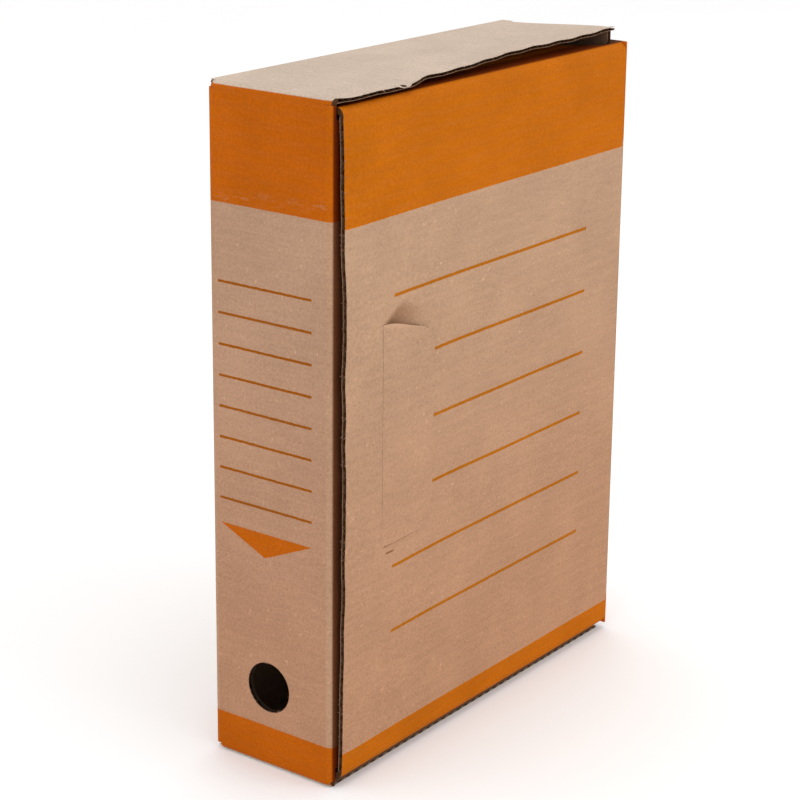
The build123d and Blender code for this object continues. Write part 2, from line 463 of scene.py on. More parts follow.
def cut_loops(panel):
    """The panel's cut outline and holes as closed loops of points, read from its CAD outer liner."""
    _, along, across, through, inward = PANELS[panel]
    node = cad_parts[panel + "_outer_liner"]
    mesh = node.data
    face_level = level(panel + "_outer_liner", 0 if inward > 0 else 1, through)
    edges = {}
    for poly in mesh.polygons:
        ids = []
        for i in poly.vertices:
            co = mesh.vertices[i].co
            if abs(co[through] - face_level) > 1e-5:
                ids = None
                break
            ids.append((round(co[along], 6), round(co[across], 6)))
        if not ids or len(set(ids)) < 3:
            continue
        for a, b in zip(ids, ids[1:] + ids[:1]):
            if (b, a) in edges:
                del edges[(b, a)]
            else:
                edges[(a, b)] = True
    after = {}
    for a, b in edges:
        after.setdefault(a, []).append(b)
    loops = []
    while after:
        start = next(iter(after))
        loop, here = [start], start
        while True:
            nexts = after[here]
            there = nexts.pop()
            if not nexts:
                del after[here]
            if there == start:
                break
            loop.append(there)
            here = there
        loops.append(loop)
    loops.sort(key=lambda l: -np.ptp(np.array(l), axis=0).prod())
    if not loops:
        raise RuntimeError("no outline found for " + panel)
    return loops


def finger_hole():
    """The finger hole's middle (y, z) and radius."""
    ring = np.array(cut_loops("spine_panel")[1])
    y, z = ((ring.min(0) + ring.max(0)) / 2).tolist()
    return y, z, float(np.ptp(ring[:, 0]) / 2)


def densify(loop, step):
    out = []
    for a, b in zip(loop, loop[1:] + loop[:1]):
        n = max(1, int(math.ceil(math.dist(a, b) / step)))
        for k in range(n):
            out.append((a[0] + (b[0] - a[0]) * k / n, a[1] + (b[1] - a[1]) * k / n))
    return out


def trims(panel):
    """Where creases take over from the flat board: (plane axis, sign, limit, run axis, start, end)."""
    found = []
    for c in creases():
        for me, other in (("a", "b"), ("b", "a")):
            if c[me] == panel:
                axis, sign = c["out_" + other]
                wide = c["name"] in ("lid_top", "lid_bottom", "spine_top", "spine_bottom")
                reach = (4 if wide else 0.4) * MM
                limit = sign * c["corner"][axis] - c["radius"]
                found.append((axis, sign, limit, c["run"], c["start"] - reach, c["end"] + reach))
    return found


def clipped(loop, panel):
    """The outline set back to where each crease's curve starts."""
    along, across = PANELS[panel][1:3]
    place = {along: 0, across: 1}
    out = []
    rows = trims(panel)
    for point in loop:
        q = list(point)
        for axis, sign, limit, run, start, end in rows:
            if axis not in place or run not in place:
                continue
            r = point[place[run]]
            if start <= r <= end:
                k = place[axis]
                if sign * q[k] > limit:
                    q[k] = sign * limit
        out.append(tuple(q))
    clean = []
    for q in out:
        if not clean or math.dist(q, clean[-1]) > 0.05 * MM:
            clean.append(q)
    if math.dist(clean[0], clean[-1]) < 0.05 * MM:
        clean.pop()
    return clean


def inside(points, loops):
    """Even-odd test of points against closed loops."""
    hit = np.zeros(len(points), bool)
    px, py = points[:, 0], points[:, 1]
    for loop in loops:
        q = np.array(loop)
        r = np.roll(q, -1, axis=0)
        for (x0, y0), (x1, y1) in zip(q, r):
            if y0 == y1:
                continue
            cross = ((y0 > py) != (y1 > py)) & (px < (x1 - x0) * (py - y0) / (y1 - y0) + x0)
            hit ^= cross
    return hit


def torn(slit):
    """The tongue's slit with its left lip pressed against the neck."""
    low, high = np.array(slit).min(0), np.array(slit).max(0)
    left, right = low[0] + 0.6 * MM, high[0]
    low_end = low[1] + TONGUE_SLIP * MM
    return [(right, low_end), (right, high[1]), (left, high[1]), (left, low_end)]


def outline(panel):
    step = bpy.context.scene.box_board.step
    loops = cut_loops(panel)
    main = clipped(densify(loops[0], step * (0.4 if panel == "top_wall" else 1.0)), panel)
    holes = [torn(l) if panel == "lid_panel" else l for l in loops[1:]]
    return [main] + [densify(l, step * 0.6) for l in holes]


def plate(loops, step):
    """A flat triangle mesh filling the loops: points, and triangles wound the same way."""
    verts, edges = [], []
    for loop in loops:
        first = len(verts)
        verts += loop
        edges += [(first + i, first + (i + 1) % len(loop)) for i in range(len(loop))]
    rim = np.array(verts)
    low, high = rim.min(0), rim.max(0)
    nx = max(2, int(round((high[0] - low[0]) / step)))
    ny = max(2, int(round((high[1] - low[1]) / step)))
    gx, gy = np.meshgrid(
        np.linspace(low[0], high[0], nx + 1)[1:-1], np.linspace(low[1], high[1], ny + 1)[1:-1],
    )
    grid = np.stack([gx.ravel(), gy.ravel()], 1)
    if len(grid):
        near = np.full(len(grid), 1e9)
        for q in rim:
            near = np.minimum(near, ((grid - q) ** 2).sum(1))
        grid = grid[near > (0.45 * step) ** 2]
        grid = grid[inside(grid, loops)]
    verts = [Vector(v) for v in verts] + [Vector(v) for v in grid]
    points, _, faces, *_ = delaunay_2d_cdt(verts, edges, [], 0, 1e-7)
    points = np.array([tuple(v) for v in points])
    faces = np.array([f for f in faces if len(f) == 3])
    middle = points[faces].mean(1)
    faces = faces[inside(middle, loops)]
    a, b, c = points[faces[:, 0]], points[faces[:, 1]], points[faces[:, 2]]
    area = (b[:, 0] - a[:, 0]) * (c[:, 1] - a[:, 1]) - (b[:, 1] - a[:, 1]) * (c[:, 0] - a[:, 0])
    faces[area < 0] = faces[area < 0][:, ::-1]
    return points, faces[np.abs(area) > 1e-12]


def liner(panel, which, material):
    """One liner: the outline filled, given its thickness, bent as the panel is."""
    board = bpy.context.scene.box_board
    body, along, across, through, inward = PANELS[panel]
    loops = outline(panel)
    points, faces = plate(loops, board.step)
    node = panel + "_" + which
    outer = level(node, 0 if inward > 0 else 1, through)
    count = len(points)
    layers = []
    for depth in (0.0, board.liner):
        p = np.zeros((count, 3))
        p[:, along] = points[:, 0]
        p[:, across] = points[:, 1]
        p[:, through] = outer + inward * depth
        layers.append(p)
    verts = shape(np.vstack(layers), panel)
    turn = np.cross(np.eye(3)[along], np.eye(3)[across])[through] * inward
    front = faces[:, ::-1] if turn > 0 else faces
    back = front[:, ::-1] + count
    rim = {}
    for f in front:
        for a, b in ((f[0], f[1]), (f[1], f[2]), (f[2], f[0])):
            if (b, a) in rim:
                del rim[(b, a)]
            else:
                rim[(a, b)] = True
    sides = [(b, a, a + count, b + count) for a, b in rim]
    piece = mesh_object(panel + "_" + which + "_look", verts, [*front, *back, *sides], material, body)
    shade_smooth(piece)
    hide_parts(node)
    return piece


# ---------------------------------------------------------------- fluting, by Geometry Nodes


def socket(tree, name, kind, value=None):
    item = tree.interface.new_socket(name=name, in_out="INPUT", socket_type=kind)
    if value is not None:
        item.default_value = value
    return item


def link_all(tree, pairs):
    for a, b in pairs:
        tree.links.new(a, b)


def math_node(tree, op, a, b=None):
    node = tree.nodes.new("ShaderNodeMath")
    node.operation = op
    for k, v in enumerate((a, b)):
        if v is None:
            continue
        if isinstance(v, (int, float)):
            node.inputs[k].default_value = v
        else:
            tree.links.new(v, node.inputs[k])
    return node.outputs[0]


def fluting_tree():
    """Corrugates a grid into a wave and gives it the fluting paper's thickness."""
    tree = bpy.data.node_groups.new("Fluting wave", "GeometryNodeTree")
    tree.interface.new_socket(name="Geometry", in_out="INPUT", socket_type="NodeSocketGeometry")
    tree.interface.new_socket(name="Geometry", in_out="OUTPUT", socket_type="NodeSocketGeometry")
    socket(tree, "Length", "NodeSocketFloat", 0.1)
    socket(tree, "Width", "NodeSocketFloat", 0.1)
    socket(tree, "Waves", "NodeSocketInt", 10)
    socket(tree, "Rows per wave", "NodeSocketInt", 8)
    socket(tree, "Columns", "NodeSocketInt", 12)
    socket(tree, "Height", "NodeSocketFloat", 0.0021)
    socket(tree, "Sheet", "NodeSocketFloat", 0.00022)
    for name in ("Hole X", "Hole Y", "Hole half length", "Hole half width"):
        socket(tree, name, "NodeSocketFloat", 0.0)
    socket(tree, "Material", "NodeSocketMaterial")
    nodes = tree.nodes
    source = nodes.new("NodeGroupInput")
    grid = nodes.new("GeometryNodeMeshGrid")
    rows = math_node(
        tree, "ADD",
        math_node(tree, "MULTIPLY", source.outputs["Waves"], source.outputs["Rows per wave"]), 1,
    )
    tree.links.new(source.outputs["Length"], grid.inputs["Size X"])
    tree.links.new(source.outputs["Width"], grid.inputs["Size Y"])
    tree.links.new(source.outputs["Columns"], grid.inputs["Vertices X"])
    tree.links.new(rows, grid.inputs["Vertices Y"])
    place = nodes.new("GeometryNodeInputPosition")
    split = nodes.new("ShaderNodeSeparateXYZ")
    tree.links.new(place.outputs[0], split.inputs[0])
    share = math_node(tree, "DIVIDE", split.outputs["Y"], source.outputs["Width"])
    phase = math_node(
        tree, "MULTIPLY", math_node(tree, "MULTIPLY", share, source.outputs["Waves"]), 2 * math.pi,
    )
    swing = math_node(tree, "SINE", phase)
    amount = math_node(tree, "SUBTRACT", source.outputs["Height"], source.outputs["Sheet"])
    lift = math_node(tree, "MULTIPLY", swing, math_node(tree, "MULTIPLY", amount, 0.5))
    offset = nodes.new("ShaderNodeCombineXYZ")
    tree.links.new(lift, offset.inputs["Z"])
    put = nodes.new("GeometryNodeSetPosition")
    reach = []
    for side, size, axis in (("Hole X", "Hole half length", "X"), ("Hole Y", "Hole half width", "Y")):
        away = math_node(tree, "SUBTRACT", split.outputs[axis], source.outputs[side])
        away = math_node(tree, "DIVIDE", away, math_node(tree, "MAXIMUM", source.outputs[size], 1e-6))
        reach.append(math_node(tree, "MULTIPLY", away, away))
    within = math_node(tree, "LESS_THAN", math_node(tree, "ADD", *reach), 1.0)
    cut = nodes.new("GeometryNodeDeleteGeometry")
    cut.domain = "FACE"
    thicken = nodes.new("GeometryNodeExtrudeMesh")
    thicken.mode = "FACES"
    thicken.inputs["Individual"].default_value = False
    flip = nodes.new("GeometryNodeFlipFaces")
    both = nodes.new("GeometryNodeJoinGeometry")
    merge = nodes.new("GeometryNodeMergeByDistance")
    merge.inputs["Distance"].default_value = 1e-6
    real = nodes.new("GeometryNodeRealizeInstances")
    paint = nodes.new("GeometryNodeSetMaterial")
    out = nodes.new("NodeGroupOutput")
    link_all(tree, [
        (grid.outputs["Mesh"], cut.inputs["Geometry"]),
        (within, cut.inputs["Selection"]),
        (cut.outputs["Geometry"], put.inputs["Geometry"]),
        (offset.outputs[0], put.inputs["Offset"]),
        (put.outputs["Geometry"], thicken.inputs["Mesh"]),
        (source.outputs["Sheet"], thicken.inputs["Offset Scale"]),
        (put.outputs["Geometry"], flip.inputs["Mesh"]),
        (thicken.outputs["Mesh"], both.inputs[0]),
        (flip.outputs["Mesh"], both.inputs[0]),
        (both.outputs[0], merge.inputs["Geometry"]),
        (merge.outputs[0], real.inputs[0]),
        (real.outputs[0], paint.inputs["Geometry"]),
        (source.outputs["Material"], paint.inputs["Material"]),
        (paint.outputs[0], out.inputs[0]),
    ])
    return tree


def run_tree(name, tree, values, base=None):
    """Evaluates a Geometry Nodes tree once and returns the result as a plain mesh."""
    holder = bpy.data.objects.new(name + "_source", base or bpy.data.meshes.new(name + "_source"))
    bpy.context.scene.collection.objects.link(holder)
    modifier = holder.modifiers.new("build", "NODES")
    modifier.node_group = tree
    for item in tree.interface.items_tree:
        if item.item_type == "SOCKET" and item.in_out == "INPUT" and item.name in values:
            modifier[item.identifier] = values[item.name]
    holder.update_tag()
    graph = bpy.context.evaluated_depsgraph_get()
    made = bpy.data.meshes.new_from_object(holder.evaluated_get(graph))
    holder.modifiers.remove(modifier)
    bpy.data.objects.remove(holder)
    if not len(made.vertices):
        raise RuntimeError(name + " came out empty")
    return made


def fluting(panel, tree, material):
    """The wave of paper between a panel's liners, cut to the panel's outline."""
    board = bpy.context.scene.box_board
    body, along, across, through, inward = PANELS[panel]
    node = panel + "_fluting"
    loops = outline(panel)
    rim = np.array(loops[0])
    low, high = rim.min(0), rim.max(0)
    length, width = high - low
    core = level(node, 1, through) - level(node, 0, through)
    waves = max(1, int(round(width / board.pitch)))
    values = {
        "Length": float(length), "Width": float(width), "Waves": waves, "Rows per wave": 8,
        "Columns": max(3, int(length / (6 * MM))), "Height": float(core),
        "Sheet": board.sheet, "Material": material,
    }
    if len(loops) > 1:
        hole = np.array(loops[1])
        middle = ((hole.min(0) + hole.max(0)) / 2 - (low + high) / 2).tolist()
        half = (np.ptp(hole, axis=0) / 2 * 1.05).tolist()
        values.update({"Hole X": middle[0], "Hole Y": middle[1]})
        values.update({"Hole half length": half[0] + 1 * MM, "Hole half width": half[1]})
        values["Columns"] = int(length / (2.5 * MM))
    made = run_tree(node, tree, values)
    co = np.zeros(len(made.vertices) * 3)
    made.vertices.foreach_get("co", co)
    co = co.reshape(-1, 3)
    a = co[:, 0] + (low[0] + high[0]) / 2
    b = co[:, 1] + (low[1] + high[1]) / 2
    for value in np.unique(np.round(b, 6)):
        row = np.abs(b - value) < 2e-6
        crossings = []
        q = rim
        r = np.roll(q, -1, axis=0)
        level_b = min(max(value, low[1] + 1e-6), high[1] - 1e-6)
        for (a0, b0), (a1, b1) in zip(q, r):
            if (b0 > level_b) != (b1 > level_b):
                crossings.append(a0 + (a1 - a0) * (level_b - b0) / (b1 - b0))
        if crossings:
            a[row] = np.clip(a[row], min(crossings), max(crossings))
    middle = (level(node, 0, through) + level(node, 1, through)) / 2
    p = np.zeros((len(a), 3))
    p[:, along], p[:, across], p[:, through] = a, b, middle + co[:, 2] - board.sheet / 2
    p = shape(p, panel)
    made.vertices.foreach_set("co", p.ravel())
    made.update()
    turn = np.cross(np.eye(3)[along], np.eye(3)[across])[through]
    if turn < 0:
        made.flip_normals()
    made.name = node + "_look"
    piece = bpy.data.objects.new(node + "_look", made)
    bpy.context.scene.collection.objects.link(piece)
    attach(piece, body)
    piece.data.shade_smooth()
    piece.data.set_sharp_from_angle(angle=math.radians(60))
    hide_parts(node)
    return piece


# ---------------------------------------------------------------- creases


def crease(c, material):
    """A rounded fold of board between two panels."""
    board = bpy.context.scene.box_board
    radius, run = c["radius"], c["run"]
    inner = max(radius - BOARD, 0.15 * MM)
    axis_a, sign_a = c["out_a"]
    axis_b, sign_b = c["out_b"]
    out_a, out_b = np.zeros(3), np.zeros(3)
    out_a[axis_a], out_b[axis_b] = sign_a, sign_b
    centre = np.zeros(3)
    centre[axis_a] = c["corner"][axis_a] - sign_a * radius
    centre[axis_b] = c["corner"][axis_b] - sign_b * radius
    turns = 10
    section = []
    for k in range(turns + 1):
        t = k / turns * math.pi / 2
        section.append(centre + radius * (math.cos(t) * out_a + math.sin(t) * out_b))
    for k in range(turns, -1, -1):
        t = k / turns * math.pi / 2
        section.append(centre + inner * (math.cos(t) * out_a + math.sin(t) * out_b))
    section = np.array(section)
    stations = max(2, int((c["end"] - c["start"]) / (4 * MM)))
    rings = []
    for k in range(stations + 1):
        ring = section.copy()
        ring[:, run] = c["start"] + (c["end"] - c["start"]) * k / stations
        rings.append(ring)
    verts = np.vstack(rings)
    n = len(section)
    step = np.zeros(3)
    step[run] = 1
    turn = np.dot(np.cross(out_b - out_a, step), out_a + out_b)
    faces = []
    for k in range(stations):
        for i in range(n):
            j = (i + 1) % n
            quad = (k * n + i, k * n + j, (k + 1) * n + j, (k + 1) * n + i)
            faces.append(quad if turn > 0 else quad[::-1])
    for base in (0, stations * n):
        for i in range(turns):
            quad = (base + i, base + i + 1, base + n - 2 - i, base + n - 1 - i)
            faces.append(quad[::-1] if (base == 0) == (turn > 0) else quad)
    verts = shape_crease(verts, c)
    body_a, body_b = BODY[c["a"]], BODY[c["b"]]
    piece = mesh_object("crease_" + c["name"], verts, faces, material)
    shade_smooth(piece, 55)
    piece.data.materials.append(materials()["cut"])
    piece.data.materials.append(materials()["inner"])
    for i, poly in enumerate(piece.data.polygons):
        if i >= stations * n:
            far_end = c["name"] in ("spine_top", "spine_bottom") and i >= stations * n + turns
            poly.material_index = 0 if far_end or c["name"] in (
                "spine_back", "fore_back", "fore_lid",
            ) else 1
        elif i % n > turns:
            poly.material_index = 2
    if body_a == body_b:
        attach(piece, body_a)
    else:
        start = centre + radius * out_a
        end = centre + radius * out_b
        start[run] = end[run] = (c["start"] + c["end"]) / 2
        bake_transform(piece)
    return piece


def shape_crease(verts, c):
    """Bends a crease with its panels, and rounds its ends off where it meets the upright folds."""
    tight = bpy.context.scene.box_board.fold
    if c["name"] in ("spine_top", "spine_bottom"):
        for middle, way in ((BACK - tight, 1), (FLANGE_FACE + tight, -1)):
            past = np.clip((verts[:, 1] - middle) * way, 0, tight)
            verts[:, 0] += tight - np.sqrt(tight * tight - past * past)
    if c["name"] in ("lid_top", "lid_bottom"):
        return shape(verts, "lid_panel")
    if c["name"] in ("spine_top", "top_tuck"):
        return shape(verts, "top_wall")
    if c["name"] == "tongue":
        return shape(verts, "lock_tongue")
    if c["name"] == "spine_flange":
        return shape(verts, "spine_flange")
    return verts


def neck(material):
    """The crushed neck of the tongue where it comes through the slit."""
    low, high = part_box("tongue_neck")
    x0, x1 = low.x + 0.2 * MM, high.x - 0.2 * MM
    mouth = FRONT + 0.1 * MM
    path = []
    for k in range(9):
        t = k / 8
        path.append(((x0 + x1) / 2 + 0.5 * MM * math.sin(t * math.pi), high.y + (mouth - high.y) * t))
    rows = 28
    verts, faces = [], []
    half = (x1 - x0) / 2
    for j in range(rows + 1):
        z = low.z + (high.z - low.z) * j / rows
        for a, b in path:
            verts.append((a - half, b, z))
        for a, b in reversed(path):
            verts.append((a + half, b, z))
    n = 2 * len(path)
    for j in range(rows):
        for i in range(n):
            k = (i + 1) % n
            faces.append((j * n + i, (j + 1) * n + i, (j + 1) * n + k, j * n + k))
    faces.append(tuple(range(n)))
    faces.append(tuple(rows * n + i for i in reversed(range(n))))
    verts = shape(np.array(verts), "tongue_neck")
    piece = mesh_object("tongue_neck_look", verts, faces, material, "flange")
    bm = bmesh.new()
    bm.from_mesh(piece.data)
    bmesh.ops.recalc_face_normals(bm, faces=bm.faces)
    bm.to_mesh(piece.data)
    bm.free()
    shade_smooth(piece)
    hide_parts("tongue_neck")
    return piece


# ---------------------------------------------------------------- torn fibres, by Geometry Nodes


def fibre_tree():
    """Stands short bent fibres on the points of an edge."""
    tree = bpy.data.node_groups.new("Torn fibres", "GeometryNodeTree")
    tree.interface.new_socket(name="Geometry", in_out="INPUT", socket_type="NodeSocketGeometry")
    tree.interface.new_socket(name="Geometry", in_out="OUTPUT", socket_type="NodeSocketGeometry")
    socket(tree, "Count", "NodeSocketInt", 100)
    socket(tree, "Length", "NodeSocketFloat", 0.0009)
    socket(tree, "Thickness", "NodeSocketFloat", 0.00006)
    socket(tree, "Seed", "NodeSocketInt", 1)
    socket(tree, "Material", "NodeSocketMaterial")
    nodes = tree.nodes
    source = nodes.new("NodeGroupInput")
    line = nodes.new("GeometryNodeMeshToCurve")
    spots = nodes.new("GeometryNodeCurveToPoints")
    spots.mode = "COUNT"
    strand = nodes.new("GeometryNodeMeshCone")
    strand.inputs["Vertices"].default_value = 3
    strand.inputs["Side Segments"].default_value = 2
    strand.inputs["Radius Top"].default_value = 0.00001
    turn = nodes.new("FunctionNodeRandomValue")
    turn.data_type = "FLOAT_VECTOR"
    turn.inputs[0].default_value = (-3.1, -3.1, -3.1)
    turn.inputs[1].default_value = (3.1, 3.1, 3.1)
    size = nodes.new("FunctionNodeRandomValue")
    size.data_type = "FLOAT"
    size.inputs[2].default_value = 0.35
    size.inputs[3].default_value = 1.3
    put = nodes.new("GeometryNodeInstanceOnPoints")
    real = nodes.new("GeometryNodeRealizeInstances")
    paint = nodes.new("GeometryNodeSetMaterial")
    out = nodes.new("NodeGroupOutput")
    link_all(tree, [
        (source.outputs["Geometry"], line.inputs["Mesh"]),
        (line.outputs[0], spots.inputs["Curve"]),
        (source.outputs["Count"], spots.inputs["Count"]),
        (source.outputs["Length"], strand.inputs["Depth"]),
        (source.outputs["Thickness"], strand.inputs["Radius Bottom"]),
        (source.outputs["Seed"], turn.inputs["Seed"]),
        (source.outputs["Seed"], size.inputs["Seed"]),
        (spots.outputs["Points"], put.inputs["Points"]),
        (strand.outputs["Mesh"], put.inputs["Instance"]),
        (turn.outputs[0], put.inputs["Rotation"]),
        (size.outputs[1], put.inputs["Scale"]),
        (put.outputs[0], real.inputs[0]),
        (real.outputs[0], paint.inputs["Geometry"]),
        (source.outputs["Material"], paint.inputs["Material"]),
        (paint.outputs[0], out.inputs[0]),
    ])
    return tree


def fibre_line(name, points, panel, tree, material, body, seed):
    """Fibres along one raw edge, given as points on the flat board."""
    wear = bpy.context.scene.box_wear
    p = shape(np.array(points, float), panel)
    base = bpy.data.meshes.new(name)
    base.from_pydata([tuple(v) for v in p], [(i, i + 1) for i in range(len(p) - 1)], [])
    length = float(np.linalg.norm(np.diff(p, axis=0), axis=1).sum())
    made = run_tree(
        name, tree,
        {
            "Count": int(length * wear.fibres), "Length": 1.2 * MM, "Thickness": 0.17 * MM,
            "Seed": seed, "Material": material,
        },
        base,
    )
    made.name = name
    piece = bpy.data.objects.new(name, made)
    bpy.context.scene.collection.objects.link(piece)
    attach(piece, body)
    piece.data.shade_smooth()
    return piece


# ---------------------------------------------------------------- paper and print


class Paint:
    """A small writer of shader nodes."""

    def __init__(self, name):
        self.material = bpy.data.materials.new(name)
        self.material.use_nodes = True
        self.tree = self.material.node_tree
        self.nodes = self.tree.nodes
        self.nodes.clear()
        self.out = self.nodes.new("ShaderNodeOutputMaterial")
        self.shader = self.nodes.new("ShaderNodeBsdfPrincipled")
        self.tree.links.new(self.shader.outputs[0], self.out.inputs["Surface"])
        self.coords = self.nodes.new("ShaderNodeTexCoord").outputs["Object"]
        split = self.nodes.new("ShaderNodeSeparateXYZ")
        self.tree.links.new(self.coords, split.inputs[0])
        self.axis = [split.outputs[0], split.outputs[1], split.outputs[2]]

    def math(self, op, a, b=None, c=None, clamp=False):
        node = self.nodes.new("ShaderNodeMath")
        node.operation = op
        node.use_clamp = clamp
        for k, v in enumerate((a, b, c)):
            if v is None:
                continue
            if isinstance(v, (int, float)):
                node.inputs[k].default_value = v
            else:
                self.tree.links.new(v, node.inputs[k])
        return node.outputs[0]

    def plus(self, a, b):
        return self.math("ADD", a, b)

    def minus(self, a, b):
        return self.math("SUBTRACT", a, b)

    def times(self, a, b, *more):
        value = self.math("MULTIPLY", a, b)
        for other in more:
            value = self.math("MULTIPLY", value, other)
        return value

    def tinted(self, tone, by):
        """The tone multiplied by a colour."""
        return self.mix(1.0, tone, by, "MULTIPLY")

    def stretched(self, scale):
        node = self.nodes.new("ShaderNodeMapping")
        node.inputs["Scale"].default_value = scale
        self.tree.links.new(self.coords, node.inputs["Vector"])
        return node.outputs[0]

    def noise(self, scale, detail=3.0, rough=0.55, coords=None):
        node = self.nodes.new("ShaderNodeTexNoise")
        node.inputs["Scale"].default_value = scale
        node.inputs["Detail"].default_value = detail
        node.inputs["Roughness"].default_value = rough
        self.tree.links.new(coords or self.coords, node.inputs["Vector"])
        return node.outputs[0]

    def spread(self, value, low, high, to_low=0.0, to_high=1.0):
        node = self.nodes.new("ShaderNodeMapRange")
        node.interpolation_type = "SMOOTHSTEP"
        node.inputs["From Min"].default_value = low
        node.inputs["From Max"].default_value = high
        node.inputs["To Min"].default_value = to_low
        node.inputs["To Max"].default_value = to_high
        self.tree.links.new(value, node.inputs["Value"])
        return node.outputs[0]

    def mix(self, amount, a, b, kind="MIX"):
        node = self.nodes.new("ShaderNodeMix")
        node.data_type = "RGBA"
        node.blend_type = kind
        if isinstance(amount, (int, float)):
            node.inputs[0].default_value = amount
        else:
            self.tree.links.new(amount, node.inputs[0])
        for k, v in ((6, a), (7, b)):
            if isinstance(v, (tuple, list)):
                node.inputs[k].default_value = tuple(v)[:3] + (1.0,)
            else:
                self.tree.links.new(v, node.inputs[k])
        return node.outputs[2]

    def bump(self, height, distance, strength=1.0, after=None):
        node = self.nodes.new("ShaderNodeBump")
        node.inputs["Distance"].default_value = distance
        node.inputs["Strength"].default_value = strength
        self.tree.links.new(height, node.inputs["Height"])
        if after is not None:
            self.tree.links.new(after, node.inputs["Normal"])
        return node.outputs[0]

    def below(self, value, limit, soft=0.1 * MM):
        """1 where value is under limit, with a slightly soft edge."""
        return self.spread(value, limit - soft, limit + soft, 1.0, 0.0)

    def above(self, value, limit, soft=0.1 * MM):
        return self.spread(value, limit - soft, limit + soft, 0.0, 1.0)

    def most(self, items):
        value = items[0]
        for other in items[1:]:
            value = self.math("MAXIMUM", value, other)
        return value


def scaled(colour, by):
    return tuple(min(1.0, c * by) for c in colour)


# ruled lines in millimetres: the highest one's height, the step down, each one's start and end
LONG_LINE, SHORT_LINE = (-80.3, 84.0), (-48.8, 84.0)
LID_LINES = (234.3, 33.15, [LONG_LINE, SHORT_LINE, SHORT_LINE, SHORT_LINE, LONG_LINE, LONG_LINE])
SPINE_LINES = (237.6, 15.1, [(-22.9, 32.4)] * 8)
SPINE_LINE_SHARE = 0.8
# the pointer in millimetres: its top's height, its tip's, its left and right ends and its tip along the spine
POINTER = (119.4, 107.2, 32.4, -22.8, 5.2)
# the lid's print sits a little lower than the case's
LID_PRINT_DROP = 3.2


def print_mask(p, kind):
    """Where ink lies: bands, ruled lines and the pointer, drawn in the box's own sizes."""
    prints = bpy.context.scene.box_print
    x, y, z = p.axis
    creep = p.times(p.minus(p.noise(420.0, 2.0), 0.5), 0.55 * MM)
    zz = p.plus(z, creep)
    lower = LID_PRINT_DROP * MM if kind == "lid" else 0.0
    bands = [p.above(zz, prints.top_band - lower), p.below(zz, prints.low_band - lower)]
    if kind.endswith("bands"):
        return p.most(bands)
    marks = []
    half = prints.line / 2 * (SPINE_LINE_SHARE if kind == "spine" else 1.0)
    flat = y if kind == "spine" else x
    highest, step, runs = SPINE_LINES if kind == "spine" else LID_LINES
    for k, (start, end) in enumerate(runs):
        off = p.math("ABSOLUTE", p.minus(zz, (highest - step * k) * MM))
        here = p.below(off, half, 0.14 * MM)
        run = p.times(p.above(flat, start * MM), p.below(flat, end * MM))
        marks.append(p.times(here, run))
    p.thin = p.math("SUBTRACT", p.most(marks), p.most(bands), clamp=True)
    if kind == "spine":
        # the pointer is flat on top, with its tip down near its middle
        top, tip, left, right, middle = (value * MM for value in POINTER)
        under_top = p.below(zz, top)
        a = p.math("DIVIDE", p.minus(left, y), left - middle)
        b = p.math("DIVIDE", p.minus(y, right), middle - right)
        reach = p.times(p.math("MINIMUM", a, b), top - tip)
        edge = p.minus(p.minus(top, zz), reach)
        marks.append(p.times(under_top, p.below(edge, 0.0)))
    return p.most(bands + marks)


def lock_shade(p):
    """Painted shade in the dent above the tongue, a painted shadow line along its lower edge, and painted
    shade in a small cut below it.
    """
    x, z = p.axis[X], p.axis[Z]
    along = p.math("DIVIDE", p.minus(x, TONGUE_LOW.x), DENT_LENGTH * MM)
    rise = p.math("MINIMUM", p.times(along, 15 * MM), p.times(p.minus(1.2, along), 8.5 * MM))
    below_rise = p.below(p.minus(z, rise), TONGUE_HIGH.z + 1.4 * MM, 2.4 * MM)
    dent = p.times(below_rise, p.above(z, TONGUE_HIGH.z - 9.0 * MM, 0.8 * MM))
    fade = p.spread(along, -0.04, 0.08, 0.0, 1.0)
    dent = p.times(p.times(dent, fade), p.spread(along, 0.3, 1.1, 0.62, 0.0))
    tongue_edge_shadow = p.times(
        p.above(z, TONGUE_LOW.z + 2.3 * MM, 0.3 * MM), p.below(z, TONGUE_LOW.z + 3.8 * MM, 0.3 * MM),
    )
    tongue_edge_shadow = p.times(tongue_edge_shadow, p.spread(along, 0.5, 1.0, 0.55, 0.0))
    tongue_edge_shadow = p.times(tongue_edge_shadow, p.above(along, 0.0, 0.02))
    tilt = p.plus(z, p.times(along, 1.2 * MM))
    nick_shade = p.times(
        p.above(tilt, TONGUE_LOW.z - 1.5 * MM, 0.2 * MM),
        p.below(tilt, TONGUE_LOW.z - 0.6 * MM, 0.2 * MM),
    )
    nick_shade = p.times(nick_shade, p.times(p.above(along, 0.08, 0.03), p.below(along, 0.27, 0.03)))
    return p.most([dent, tongue_edge_shadow, nick_shade])


# a ruled line carries less ink than a band
LINE_TINT = {"spine": (0.62, 0.78, 2.2), "lid": (0.80, 0.96, 2.5)}
# the lid's ink is yellower than the spine's
INK_TINT = {
    "lid": (1.01, 1.14, 0.70), "lid_bands": (1.01, 1.14, 0.70), "spine": (0.98, 0.94, 0.80),
    "spine_bands": (0.98, 0.94, 0.80),
}


def hole_shade_mask(p, hole):
    """Mask of the painted shade in the finger hole: 1 within hole's reach of its middle; hole is (y, z,
    reach).
    """
    across_y = p.minus(p.axis[Y], hole[0])
    across_z = p.minus(p.axis[Z], hole[1])
    away = p.math("SQRT", p.plus(p.times(across_y, across_y), p.times(across_z, across_z)))
    return p.below(away, hole[2])


